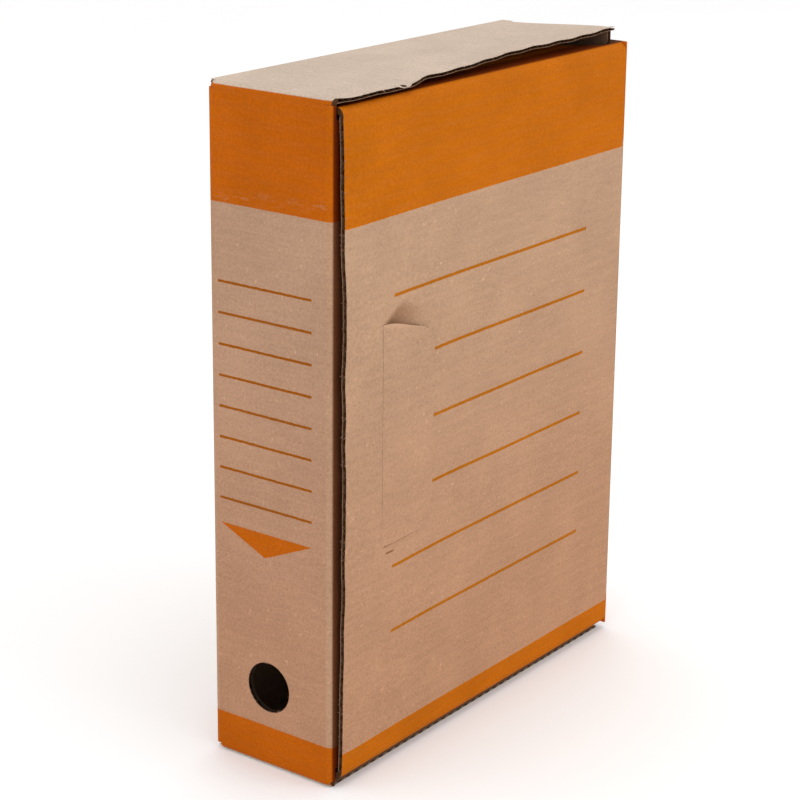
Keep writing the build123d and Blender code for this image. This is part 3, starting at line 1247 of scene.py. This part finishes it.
def paper(name, colour, across, printed=None, limit=None, fold_shade=None, hole=None):
    """Kraft liner: fibres, flecks and flute shadow, with flexo ink on it where printed.

    limit is (axis, sign, place): ink lies on that side of it only.
    The sixth argument, (axis, clean, dark, far, end), is painted shade in a fold or recess: dark between the
    two middle places.
    hole is (y, z, reach): painted shade, near-black, within that reach of the finger hole's middle.
    """
    prints = bpy.context.scene.box_print
    board = bpy.context.scene.box_board
    p = Paint(name)
    cloud = p.noise(24.0, 4.0, 0.6)
    grain = p.noise(760.0, 2.5, 0.75)
    fine = p.noise(2100.0, 2.0, 0.7)
    stretch = [90.0, 90.0, 90.0]
    stretch[across] = 900.0
    streak = p.noise(1.0, 3.0, 0.65, p.stretched(stretch))
    fleck = p.spread(p.noise(900.0, 1.0, 0.5), 0.66, 0.74)
    light = p.spread(p.noise(430.0, 1.0, 0.5, p.stretched((1.0, 1.3, 0.9))), 0.70, 0.78)
    flute = p.math("SINE", p.times(p.axis[across], 2 * math.pi / board.pitch))
    tone = p.mix(p.spread(cloud, 0.35, 0.68), scaled(colour, 0.95), scaled(colour, 1.05))
    tone = p.mix(
        p.spread(grain, 0.32, 0.68), p.tinted(tone, (0.885, 0.870, 0.855)),
        p.tinted(tone, (1.075, 1.07, 1.065)),
    )
    tone = p.mix(p.times(p.spread(streak, 0.42, 0.72), 0.30), tone, scaled(colour, 1.20))
    tone = p.mix(p.times(fleck, 0.35), tone, scaled(colour, 0.50))
    tone = p.mix(p.times(light, 0.55), tone, scaled(colour, 1.45))
    if printed in ("spine", "lid", "tongue"):
        # the paper is made browner low down and paler and greyer high up
        height_tint = p.mix(p.spread(p.axis[Z], 20 * MM, 290 * MM), (0.99, 0.91, 0.85), (1.01, 1.07, 1.09))
        tone = p.tinted(tone, height_tint)
        if printed == "spine":
            tone = p.tinted(tone, (0.98, 0.96, 0.98))
    rough = p.spread(grain, 0.2, 0.8, 0.80, 0.94)
    if printed == "tongue":
        # a painted highlight along the tongue's top edge: lighter kraft in a band there
        slant = p.plus(p.axis[Z], p.times(p.minus(p.axis[X], TONGUE_LOW.x), 0.19))
        top_edge_highlight = p.above(slant, TONGUE_HIGH.z - 0.3 * MM, 0.9 * MM)
        tone = p.mix(p.times(top_edge_highlight, 0.6), tone, scaled(colour, 1.22))
    elif printed:
        mask = print_mask(p, printed)
        if limit is not None:
            axis, sign, at = limit
            mask = p.times(mask, (p.below if sign < 0 else p.above)(p.axis[axis], at, 0.25 * MM))
        starve = p.times(p.spread(p.noise(980.0, 2.0, 0.8), 0.62, 0.80), 0.16)
        lines = p.times(p.spread(streak, 0.52, 0.80), 0.05)
        ridge = p.times(p.spread(flute, -1.0, 1.0, 0.0, 1.0), 0.015)
        cover = p.minus(p.minus(p.minus(1.0, starve), lines), ridge)
        ink = tuple(a * b for a, b in zip(prints.ink, INK_TINT.get(printed, (1.0, 1.0, 1.0))))
        wet = p.mix(p.spread(cloud, 0.3, 0.7), scaled(ink, 0.93), scaled(ink, 1.07))
        wet = p.mix(p.times(p.spread(fine, 0.4, 0.7), 0.25), wet, scaled(ink, 0.80))
        wet = p.mix(
            p.spread(grain, 0.34, 0.66), p.tinted(wet, (0.90, 0.90, 0.90)),
            p.tinted(wet, (1.07, 1.07, 1.07)),
        )
        wet = p.mix(p.times(p.spread(streak, 0.30, 0.50, 1.0, 0.0), 0.30), wet, scaled(ink, 0.80))
        if printed == "spine":
            rubbed = p.spread(p.noise(1.0, 2.0, 0.7, p.stretched((300.0, 120.0, 620.0))), 0.50, 0.66)
            slope = p.plus(p.axis[Z], p.times(p.axis[Y], 0.06))
            strip = p.times(
                p.above(slope, prints.top_band + 2.5 * MM, 1.5 * MM),
                p.below(slope, prints.top_band + 7.0 * MM, 1.5 * MM),
            )
            cover = p.minus(cover, p.times(p.times(rubbed, strip), 0.20))
        if printed in ("spine", "lid"):
            wet = p.mix(p.thin, wet, p.tinted(wet, LINE_TINT[printed]))
        tone = p.mix(p.times(mask, cover), tone, wet)
        rough = p.minus(rough, p.times(mask, 0.12))
    shadow = p.spread(flute, -1.0, 1.0, 0.0, 1.0)
    tone = p.mix(p.times(shadow, 0.045), tone, p.tinted(tone, (0.5, 0.48, 0.46)))
    if printed == "lid":
        # painted shade of the dent, a painted shadow under the tongue's lower edge, and the small cut's
        # painted shade
        tone = p.mix(lock_shade(p), tone, p.tinted(tone, (0.50, 0.36, 0.26)))
    if hole is not None:
        # painted shade inside the finger hole
        tone = p.mix(hole_shade_mask(p, hole), tone, scaled(colour, 0.16))
    # painted shade in a fold or recess, darkest between the two middle places
    if fold_shade is not None:
        axis, clean, dark, far, end = fold_shade
        fold_shadow = p.times(p.spread(p.axis[axis], clean, dark), p.spread(p.axis[axis], far, end, 1.0, 0.0))
        tone = p.mix(fold_shadow, tone, p.tinted(tone, (0.26, 0.145, 0.09)))
    p.tree.links.new(tone, p.shader.inputs["Base Color"])
    p.tree.links.new(rough, p.shader.inputs["Roughness"])
    p.shader.inputs["Specular IOR Level"].default_value = 0.04
    wash = p.bump(flute, 0.03 * MM, 0.5)
    tooth = p.bump(p.plus(grain, p.times(streak, 0.5)), 0.08 * MM, 0.4, wash)
    p.tree.links.new(tooth, p.shader.inputs["Normal"])
    return p.material


def raw_paper(name, colour, hole=None):
    """The fluting's unfinished paper, with painted shade, near-black, within the hole's reach."""
    p = Paint(name)
    grain = p.noise(900.0, 3.0, 0.7)
    cloud = p.noise(60.0, 3.0, 0.6)
    tone = p.mix(p.spread(grain, 0.3, 0.7), scaled(colour, 0.72), scaled(colour, 1.18))
    tone = p.mix(p.spread(cloud, 0.35, 0.65), tone, scaled(colour, 0.85))
    if hole is not None:
        # painted shade inside the finger hole
        tone = p.mix(hole_shade_mask(p, hole), tone, scaled(colour, 0.12))
    p.tree.links.new(tone, p.shader.inputs["Base Color"])
    p.shader.inputs["Roughness"].default_value = 0.95
    p.shader.inputs["Specular IOR Level"].default_value = 0.0
    p.tree.links.new(p.bump(grain, 0.08 * MM, 0.7), p.shader.inputs["Normal"])
    return p.material


PAPERS = {}


def materials():
    """All papers, made once."""
    if PAPERS:
        return PAPERS
    prints = bpy.context.scene.box_print
    y, z, radius = finger_hole()
    # reaches of the finger hole's painted shade: just past its edge on the outer liner, 3 mm into the board
    # within
    rim, deep = (y, z, radius + 0.12 * MM), (y, z, radius + 3 * MM)
    made = {
        "spine": paper("spine_printed_kraft", prints.kraft, Z, "spine", hole=rim),
        # inner liners at 0.6 of the kraft: partly the inner liner's own browner paper, partly painted shade
        # for the box's dark inside
        "spine_inner": paper("spine_inner_kraft", scaled(prints.kraft, 0.60), Z, hole=deep),
        "spine_medium": raw_paper("fluting_paper_at_hole", prints.medium, deep),
        "lid": paper("lid_printed_kraft", prints.kraft, Z, "lid"),
        "bands_z": paper("banded_kraft", prints.kraft, Z, "bands"),
        "bands_y": paper("banded_flap_kraft", prints.kraft, Y, "bands"),
        # the flange beside the spine's front fold: painted shade where it lies in the gap behind the lid's
        # edge
        "recess": paper(
            "shaded_fold_kraft", prints.kraft, Z, "bands", None,
            (X, LEFT + 0.9 * MM, LEFT + 2.0 * MM, LEFT + 7.0 * MM, LEFT + 12.0 * MM),
        ),
        # the lid's top and bottom folds and dust flaps: painted shade in the gap behind the lid's folds
        "lid_fold": paper(
            "lid_fold_kraft", prints.kraft, Y, "lid_bands", None,
            (Y, FRONT + 2.2 * MM, FRONT + 4.2 * MM, FRONT + 12.0 * MM, FRONT + 18.0 * MM),
        ),
        "plain_z": paper("plain_kraft_upright", prints.kraft, Z),
        "tongue": paper("tongue_kraft", prints.kraft, Z, "tongue"),
        # the top tuck flap: painted shade near its front edge, inside the box's gap
        "tuck": paper(
            "tuck_kraft", prints.kraft, Z, None, None, (Y, -60 * MM, -50 * MM, -26 * MM, -12 * MM),
        ),
        # pale kraft on the walls and on the spine's top and bottom folds: a painted highlight for the light
        # from above
        "plain_x": paper("pale_kraft_wall", prints.top_lit_kraft, X),
        "fold_top": paper("top_fold_kraft", prints.top_lit_kraft, X, "spine_bands", (Z, -1, WALL_TOP - 1.3 * MM)),
        "fold_bottom": paper("bottom_fold_kraft", prints.top_lit_kraft, X, "spine_bands", (Z, 1, 1.3 * MM)),
        # cut ends and the walls' fluting are darker still: painted shade at the board's raw ends
        "cut": raw_paper("cut_end_paper", scaled(prints.medium, 0.6)),
        # inner liners at 0.6 of the kraft: partly the inner liner's own browner paper, partly painted shade
        # for the box's dark inside
        "inner": paper("inner_kraft", scaled(prints.kraft, 0.60), Z),
        "medium": raw_paper("fluting_paper", prints.medium),
    }
    PAPERS.update(made)
    return PAPERS


OUTER = {
    "spine_panel": "spine", "lid_panel": "lid", "spine_flange": "recess", "lock_tongue": "tongue",
    "back_panel": "bands_z", "fore_edge_panel": "bands_z", "top_wall": "plain_x", "bottom_wall": "plain_x",
    "top_tuck_flap": "tuck", "bottom_tuck_flap": "plain_z", "back_top_dust_flap": "bands_y",
    "back_bottom_dust_flap": "bands_y", "lid_top_dust_flap": "lid_fold", "lid_bottom_dust_flap": "lid_fold",
}
CORE = {"spine_panel": "spine_medium", "top_wall": "cut", "bottom_wall": "cut"}
FOLD = {
    "spine_back": "bands_z", "fore_back": "bands_z", "fore_lid": "bands_z", "spine_flange": "recess",
    "spine_top": "fold_top", "spine_bottom": "fold_bottom", "top_tuck": "plain_x", "bottom_tuck": "plain_x",
    "back_top": "bands_y", "back_bottom": "bands_y", "lid_top": "lid_fold", "lid_bottom": "lid_fold",
    "tongue": "tongue",
}


def build_panels(names):
    papers = materials()
    tree = bpy.data.node_groups.get("Fluting wave") or fluting_tree()
    for name in names:
        liner(name, "outer_liner", papers[OUTER[name]])
        liner(name, "inner_liner", papers["spine_inner" if name == "spine_panel" else "inner"])
        fluting(name, tree, papers[CORE.get(name, "medium")])


# ---------------------------------------------------------------- operators


class BOX_OT_case(bpy.types.Operator):
    """Spine, back and fore-edge panels, which stand as one row"""

    bl_idname = "box.case"
    bl_label = "Case panels"

    def execute(self, context):
        build_panels(["spine_panel", "back_panel", "fore_edge_panel"])
        return {"FINISHED"}


class BOX_OT_lid(bpy.types.Operator):
    """Printed lid panel with the slit for the lock tongue"""

    bl_idname = "box.lid"
    bl_label = "Lid"

    def execute(self, context):
        build_panels(["lid_panel"])
        return {"FINISHED"}


class BOX_OT_lock(bpy.types.Operator):
    """Flange behind the lid's free edge, with the lock tongue and its crushed neck"""

    bl_idname = "box.lock"
    bl_label = "Flange and lock tongue"

    def execute(self, context):
        build_panels(["spine_flange", "lock_tongue"])
        neck(materials()["tongue"])
        return {"FINISHED"}


class BOX_OT_walls(bpy.types.Operator):
    """Top and bottom walls with their tuck flaps"""

    bl_idname = "box.walls"
    bl_label = "Walls and tuck flaps"

    def execute(self, context):
        build_panels(["top_wall", "top_tuck_flap", "bottom_wall", "bottom_tuck_flap"])
        return {"FINISHED"}


class BOX_OT_flaps(bpy.types.Operator):
    """Dust flaps of the lid and of the back panel"""

    bl_idname = "box.flaps"
    bl_label = "Dust flaps"

    def execute(self, context):
        build_panels([side + "_dust_flap" for side in ("back_top", "back_bottom", "lid_top", "lid_bottom")])
        return {"FINISHED"}


class BOX_OT_creases(bpy.types.Operator):
    """Rounded folds between the panels"""

    bl_idname = "box.creases"
    bl_label = "Creases"

    def execute(self, context):
        papers = materials()
        for c in creases():
            crease(c, papers[FOLD[c["name"]]])
        return {"FINISHED"}


class BOX_OT_fibres(bpy.types.Operator):
    """Loose fibres on the raw edges"""

    bl_idname = "box.fibres"
    bl_label = "Torn fibres"

    def execute(self, context):
        wear = context.scene.box_wear
        tree = bpy.data.node_groups.get("Torn fibres") or fibre_tree()
        material = materials()["plain_z"]
        heights = np.linspace(LID_BOTTOM + 6 * MM, LID_TOP - 6 * MM, 90)
        for depth, tag in ((0.15 * MM, "outer"), (BOARD - 0.15 * MM, "inner")):
            fibre_line(
                "lid_edge_fibres_" + tag, [(LID_EDGE, FRONT + depth, z) for z in heights], "lid_panel",
                tree, material, "lid", wear.seed
            )
        runs = np.linspace(LEFT + 5 * MM, WALL_END - 5 * MM, 70)
        fibre_line(
            "top_wall_edge_fibres", [(x, WALL_FRONT, WALL_TOP - 0.15 * MM) for x in runs], "top_wall",
            tree, material, "top_wall", wear.seed + 1
        )
        y, z, radius = finger_hole()
        ring = [
            (LEFT + 0.1 * MM, y + radius * math.cos(t), z + radius * math.sin(t))
            for t in np.linspace(0, 2 * math.pi, 60)
        ]
        fibre_line("finger_hole_fibres", ring, "spine_panel", tree, material, "case", wear.seed + 2)
        return {"FINISHED"}


# name, place, height it is aimed at, width, power
LAMPS = (
    ("key", (0.35, -1.6, 1.25), 0.16, 1.3, 7.0),
    ("fill", (-1.7, -0.25, 0.9), 0.15, 1.2, 1.5),
    ("overhead", (0.0, 0.1, 1.9), 0.20, 1.5, 5.0),
)


class BOX_OT_stage(bpy.types.Operator):
    """Plain pale floor, soft studio light and the camera"""

    bl_idname = "box.stage"
    bl_label = "Stage"

    def execute(self, context):
        scene = context.scene
        stage = scene.box_stage
        size = stage.floor
        verts = [(-size, -size, 0), (size, -size, 0), (size, size, 0), (-size, size, 0)]
        mesh = bpy.data.meshes.new("floor")
        mesh.from_pydata(verts, [], [(0, 1, 2, 3)])
        floor = bpy.data.objects.new("floor", mesh)
        scene.collection.objects.link(floor)
        p = Paint("floor_paint")
        tone = p.mix(p.spread(p.noise(3.0, 2.0), 0.3, 0.7), (0.955, 0.955, 0.955), (0.965, 0.965, 0.965))
        p.tree.links.new(tone, p.shader.inputs["Base Color"])
        p.shader.inputs["Roughness"].default_value = 0.9
        mesh.materials.append(p.material)
        world = bpy.data.worlds.new("studio") if scene.world is None else scene.world
        scene.world = world
        world.use_nodes = True
        back = world.node_tree.nodes.get("Background") or world.node_tree.nodes.new("ShaderNodeBackground")
        back.inputs["Color"].default_value = (1.0, 1.0, 1.0, 1.0)
        back.inputs["Strength"].default_value = 1.0
        for name, place, height, width, power in LAMPS:
            self.lamp(name, place, (0.0, 0.0, height), width, power)
        data = bpy.data.cameras.new("camera")
        camera = bpy.data.objects.new("camera", data)
        scene.collection.objects.link(camera)
        data.lens, data.sensor_width = stage.lens, 36.0
        data.shift_x, data.shift_y = stage.shift
        data.clip_start, data.clip_end = 0.05, 50
        a, e = stage.azimuth, stage.elevation
        back_way = Vector((math.sin(a) * math.cos(e), -math.cos(a) * math.cos(e), math.sin(e)))
        camera.location = Vector((0, 0, stage.target)) + back_way * stage.distance
        look = (-back_way).to_track_quat("-Z", "Y").to_matrix().to_4x4()
        camera.rotation_euler = (look @ Matrix.Rotation(stage.roll, 4, "Z")).to_euler()
        scene.camera = camera
        scene.view_settings.view_transform = "Standard"
        scene.view_settings.look = "None"
        return {"FINISHED"}

    def lamp(self, name, place, aim, size, power):
        data = bpy.data.lights.new(name, "AREA")
        data.size, data.energy = size, power
        light = bpy.data.objects.new(name, data)
        bpy.context.scene.collection.objects.link(light)
        light.location = place
        way = Vector(aim) - Vector(place)
        light.rotation_euler = way.to_track_quat("-Z", "Y").to_euler()


class BOX_PT_sidebar(bpy.types.Panel):
    """Sizes, colours and build steps of the archival box"""

    bl_idname = "BOX_PT_sidebar"
    bl_label = "Archival box"
    bl_space_type = "VIEW_3D"
    bl_region_type = "UI"
    bl_category = "Archival box"

    def draw(self, context):
        layout = self.layout
        for title, group in (
            ("Board", "box_board"), ("Wear", "box_wear"), ("Print", "box_print"), ("Stage", "box_stage"),
        ):
            column = layout.column(align=True)
            column.label(text=title)
            settings = getattr(context.scene, group)
            for key in settings.__annotations__:
                column.prop(settings, key)
        for operator in STEPS:
            layout.operator(operator.bl_idname)


STEPS = (
    BOX_OT_case, BOX_OT_lid, BOX_OT_lock, BOX_OT_walls, BOX_OT_flaps, BOX_OT_creases, BOX_OT_fibres,
    BOX_OT_stage,
)
GROUPS = (
    ("box_board", BoardSettings), ("box_wear", WearSettings), ("box_print", PrintSettings),
    ("box_stage", StageSettings),
)


def register():
    for name, group in GROUPS:
        bpy.utils.register_class(group)
        setattr(bpy.types.Scene, name, PointerProperty(type=group))
    for cls in (*STEPS, BOX_PT_sidebar):
        bpy.utils.register_class(cls)


def unregister():
    for cls in reversed((*STEPS, BOX_PT_sidebar)):
        bpy.utils.unregister_class(cls)
    for name, group in reversed(GROUPS):
        delattr(bpy.types.Scene, name)
        bpy.utils.unregister_class(group)


def main():
    register()
    bpy.ops.box.case()
    bpy.ops.box.lid()
    bpy.ops.box.lock()
    bpy.ops.box.walls()
    bpy.ops.box.flaps()
    bpy.ops.box.creases()
    bpy.ops.box.fibres()
    bpy.ops.box.stage()
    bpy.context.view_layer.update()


if __name__ == "__main__":
    main()
